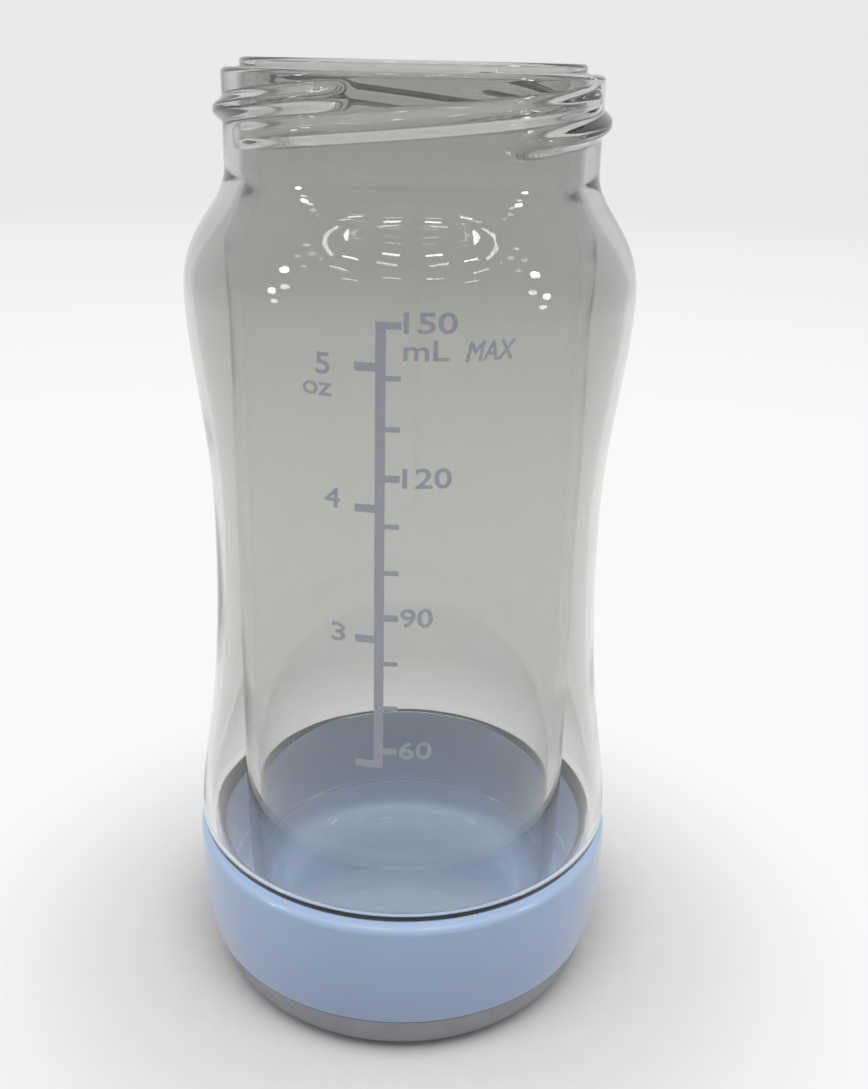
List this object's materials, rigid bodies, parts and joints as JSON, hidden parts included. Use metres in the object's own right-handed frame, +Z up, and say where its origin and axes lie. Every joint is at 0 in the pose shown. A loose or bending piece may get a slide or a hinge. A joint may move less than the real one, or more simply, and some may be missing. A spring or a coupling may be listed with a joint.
{
  "type": "baby bottle",
  "caption": "Open baby bottle: a straight glass liner inside a clear shell with a drawn-in waist, round shoulder and wide screw neck, standing in a glossy blue base cup with a soft grey foot.",
  "frame": {"origin": "middle of the foot ring's underside, on the surface that the bottle stands on", "axes": "+Z up along the bottle's axis, -Y towards the printed volume scale"},
  "size_m": [0.0624, 0.0624, 0.1317],
  "materials": {
    "clear_glass": "clear, fire polished",
    "clear_shell": "clear, smooth moulded",
    "blue_gloss": "smooth moulded gloss",
    "grey_grip": "satin, slightly translucent"
  },
  "bodies": {
    "base": {"base_sleeve": "blue_gloss", "foot_ring": "grey_grip", "glass_body": "clear_glass"},
    "shell": {"outer_shell": "clear_shell"}
  },
  "joints": [
    {"name": "shell_lift", "type": "slide", "parent": "base", "child": "shell", "axis": [0, 0, 1], "range_m": [0, 0.02]}
  ]
}
